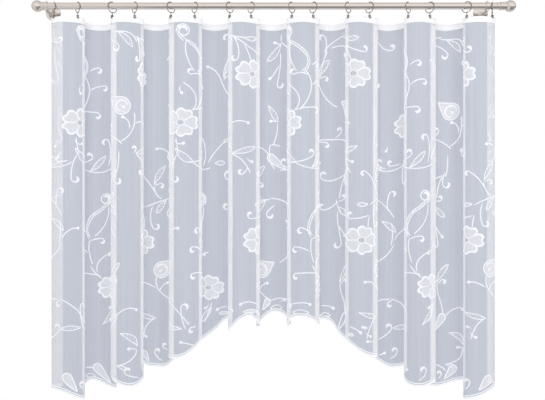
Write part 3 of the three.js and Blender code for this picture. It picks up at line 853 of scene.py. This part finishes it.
def finish_metal(name, parts, material, nodes):
    """Joins solids into one piece, smooth but for its edges."""
    whole = bmesh.new()
    for part in parts:
        held = bpy.data.meshes.new("part")
        part.to_mesh(held)
        part.free()
        whole.from_mesh(held)
        bpy.data.meshes.remove(held)
    bmesh.ops.scale(whole, vec=(MM, MM, MM), verts=whole.verts)
    for face in whole.faces:
        face.smooth = True
    for edge in whole.edges:
        edge.smooth = len(edge.link_faces) != 2 or edge.calc_face_angle(0) < math.radians(32)
    mesh = bpy.data.meshes.new(name)
    whole.to_mesh(mesh)
    whole.free()
    return add_piece(name, mesh, material, nodes)


def turned(profile, place=Matrix.Identity(4), steps=48, closed=False):
    """A solid turned about Z from (radius, height) points, which start and end on the axis or close on
    themselves."""
    bm = bmesh.new()
    points = [bm.verts.new((r, 0, h)) for r, h in profile]
    pairs = list(zip(points, points[1:])) + ([(points[-1], points[0])] if closed else [])
    edges = [bm.edges.new(pair) for pair in pairs]
    bmesh.ops.spin(
        bm, geom=points + edges, cent=(0, 0, 0), axis=(0, 0, 1), angle=2 * math.pi, steps=steps,
        use_merge=True)
    bmesh.ops.remove_doubles(bm, verts=bm.verts, dist=1e-4)
    bmesh.ops.recalc_face_normals(bm, faces=bm.faces)
    bmesh.ops.transform(bm, matrix=place, verts=bm.verts)
    return bm


def bar(radius, length, place, edge=0.4, steps=48):
    """A round bar from Z 0 up, with a small bevel at both ends."""
    profile = [
        (0, 0), (radius - edge, 0), (radius, edge), (radius, length - edge), (radius - edge, length),
        (0, length)]
    return turned(profile, place, steps)


def wire_ring(radius, wire, place, steps=48, sides=12):
    section = [(radius + wire * math.cos(a), wire * math.sin(a))
               for a in (2 * math.pi * i / sides for i in range(sides))]
    return turned(section, place, steps, closed=True)


ALONG_X = Matrix.Rotation(math.radians(90), 4, "Y")
TO_ROOM = Matrix.Rotation(math.radians(90), 4, "X")


def on_rod(x):
    """Place on the rod's axis."""
    return Matrix.Translation((x, -ROD_OUT, ROD_RISE))


def build_rod(nickel):
    left = FINIALS["finial_left"]
    right = FINIALS["finial_right"]
    start = -left[1] + BALL_RADIUS + left[2] + GAP
    end = right[1] - BALL_RADIUS - right[2] - GAP
    tube = bar(ROD_RADIUS, end - start, on_rod(start) @ ALONG_X, 0.8, 72)
    finish_metal("rod_tube", [tube], nickel, ["rod"])


def build_finials(nickel):
    for name, (side, ball, neck) in FINIALS.items():
        meeting = math.asin(NECK_WIDE / BALL_RADIUS)
        joint = -BALL_RADIUS * math.cos(meeting)
        foot = -BALL_RADIUS - neck
        sleeve = max(foot, -BALL_RADIUS - SLEEVE_LENGTH)
        profile = [(0, foot)]
        if sleeve > foot:
            profile += [(NECK_THIN - 0.6, foot), (NECK_THIN, foot + 0.6), (NECK_THIN, sleeve)]
        profile += [(NECK_WIDE - 0.8, sleeve), (NECK_WIDE, sleeve + 0.8), (NECK_WIDE, joint - 1.2),
                    (NECK_WIDE - 1.2, joint - 0.4)]
        angles = np.linspace(meeting + 0.04, math.pi, 30)
        profile += [(BALL_RADIUS * math.sin(a), -BALL_RADIUS * math.cos(a)) for a in angles[:-1]]
        profile.append((0, BALL_RADIUS))
        place = on_rod(side * ball) @ Matrix.Rotation(side * math.pi / 2, 4, "Y")
        finish_metal(f"ball_{name}", [turned(profile, place, 56)], nickel, [name])


def build_brackets(nickel):
    for name, x in BRACKETS.items():
        profile = [
            (0, 0), (FLANGE_RADIUS - 0.5, 0), (FLANGE_RADIUS, 0.5), (FLANGE_RADIUS, FLANGE_THICK - 2),
            (FLANGE_RADIUS - 0.6, FLANGE_THICK - 0.6), (FLANGE_RADIUS - 2, FLANGE_THICK), (10, FLANGE_THICK),
            (8, FLANGE_THICK - 0.2), (0, FLANGE_THICK - 0.2)]
        flange = turned(profile, Matrix.Translation((x, 0, 0)) @ TO_ROOM, 64)
        start = FLANGE_THICK / 2
        arm = bar(ARM_RADIUS, ROD_OUT + ARM_RADIUS - start,
                  Matrix.Translation((x, -start, ROD_RISE - ARM_DROP)) @ TO_ROOM, 1.0, 32)
        half = COLLAR_WIDTH / 2
        bore = ROD_RADIUS + GAP
        collar = turned([(bore, -half), (COLLAR_RADIUS - 0.8, -half), (COLLAR_RADIUS, -half + 0.8),
                         (COLLAR_RADIUS, half - 0.8), (COLLAR_RADIUS - 0.8, half), (bore, half)],
                        on_rod(x) @ ALONG_X, 64, closed=True)
        screw = bar(SCREW_RADIUS, COLLAR_RADIUS - ROD_RADIUS + SCREW_HEIGHT,
                    on_rod(x) @ Matrix.Translation((0, 0, ROD_RADIUS + GAP)), 0.5, 24)
        finish_metal(f"wall_{name}", [flange, arm, collar, screw], nickel, [name])


def ring_drop(turn):
    """How far a ring's middle hangs below the rod's axis: it rests on the rod, turned or not."""
    clear = ROD_RADIUS + RING_WIRE + GAP
    square = RING_RADIUS - clear
    swung = math.sqrt((RING_RADIUS * math.cos(turn)) ** 2 - clear ** 2) * math.tan(abs(turn))
    return swung if square < RING_RADIUS * math.sin(turn) ** 2 else square


def clip_jaws(place):
    """A strip of spring steel folded over a pin, with its two lips turned out."""
    front, back = -3.2, 1.9
    roll = (back - front) / 2
    middle = (back + front) / 2
    over = [(middle + roll * math.cos(a), -JAW_TOP - 1.6 - roll + roll * math.sin(a))
            for a in np.radians(np.linspace(0, 180, 9))]
    fold = [(back + 1.1, -JAW_BOTTOM), (back + 0.1, -JAW_BOTTOM + 1.6), (back, -JAW_TOP - 8), *over,
            (front, -JAW_TOP - 8), (front - 0.1, -JAW_BOTTOM + 1.6), (front - 1.1, -JAW_BOTTOM)]
    line = smooth_line(fold, steps=2)
    slope = np.gradient(line, axis=0)
    slope /= np.linalg.norm(slope, axis=1)[:, None]
    side = np.stack([-slope[:, 1], slope[:, 0]], axis=1) * 0.55
    bm = bmesh.new()
    outline = [bm.verts.new((-JAW_WIDTH / 2, y, z)) for y, z in [*(line + side), *(line - side)[::-1]]]
    face = bm.faces.new(outline)
    grown = bmesh.ops.extrude_face_region(bm, geom=[face])
    moved = [g for g in grown["geom"] if isinstance(g, bmesh.types.BMVert)]
    bmesh.ops.translate(bm, vec=(JAW_WIDTH, 0, 0), verts=moved)
    bmesh.ops.recalc_face_normals(bm, faces=bm.faces)
    bmesh.ops.transform(bm, matrix=place, verts=bm.verts)
    pin_place = place @ Matrix.Translation((-JAW_WIDTH / 2 - 0.8, middle, -JAW_TOP - 1.6 - roll)) @ ALONG_X
    return [bm, bar(1.3, JAW_WIDTH + 1.6, pin_place, 0.3, 16)]


def build_rings_and_clips(shaded_ring_metal):
    for number, key in enumerate(CLIP_KEYS, start=1):
        x = KEYS[key][0]
        at = key * PLAN_STEPS
        slope = math.atan2(SLOPES[at][1], SLOPES[at][0])
        turn = math.radians(RINGS_APART.get(number, -RING_TURN if number % 2 else RING_TURN))
        drop = ring_drop(turn)
        facing = Matrix.Rotation(turn, 4, "Z")
        ring_place = on_rod(x) @ Matrix.Translation((0, 0, -drop)) @ facing @ ALONG_X
        label = f"{number:02d}"
        finish_metal(f"wire_ring_{label}", [wire_ring(RING_RADIUS, RING_WIRE, ring_place)], shaded_ring_metal,
                     [f"ring_{label}"])
        eye_middle = -drop - RING_RADIUS + RING_WIRE + GAP + EYE_WIRE - EYE_RADIUS
        eye_place = on_rod(x) @ Matrix.Translation((0, 0, eye_middle)) @ facing @ TO_ROOM
        stem_top = eye_middle - EYE_RADIUS + EYE_WIRE / 2
        stem_foot = -JAW_TOP - 2.4
        stem_place = on_rod(x) @ Matrix.Translation((0, 0, stem_foot))
        stem = bar(STEM_RADIUS, stem_top - stem_foot, stem_place, 0.3, 16)
        parts = [wire_ring(EYE_RADIUS, EYE_WIRE, eye_place, 24, 10), stem]
        parts += clip_jaws(on_rod(x) @ Matrix.Rotation(slope, 4, "Z"))
        finish_metal(f"ring_clip_{label}", parts, shaded_ring_metal, [f"clip_{label}"])


# Putting it together

bpy.context.scene.view_settings.view_transform = "Standard"
add_camera()
add_world()
add_stage()
curtain_net, figures, heading = weave_curtain()
nickel = satin_nickel("satin_nickel_plated_steel", "#DAD6D3", "#D4D0CD", 0.16, 9, along=(0.05, 1.0, 1.0))
# The rings' wire has the same nickel plating as the rod but a darker colour: painted shade for how dark the
# rings look.
shaded_ring_metal = satin_nickel("nickel_plated_steel_wire_painted_shade", "#A09B98", "#8E8986", 0.14, 2)
build_rod(nickel)
build_finials(nickel)
build_brackets(nickel)
build_rings_and_clips(shaded_ring_metal)

along_cloth = np.linspace(0, WIDTH, 600)
longest = float(hem_at(along_cloth).max())
cut_area = float(hem_at(along_cloth).mean()) * WIDTH * MM * MM
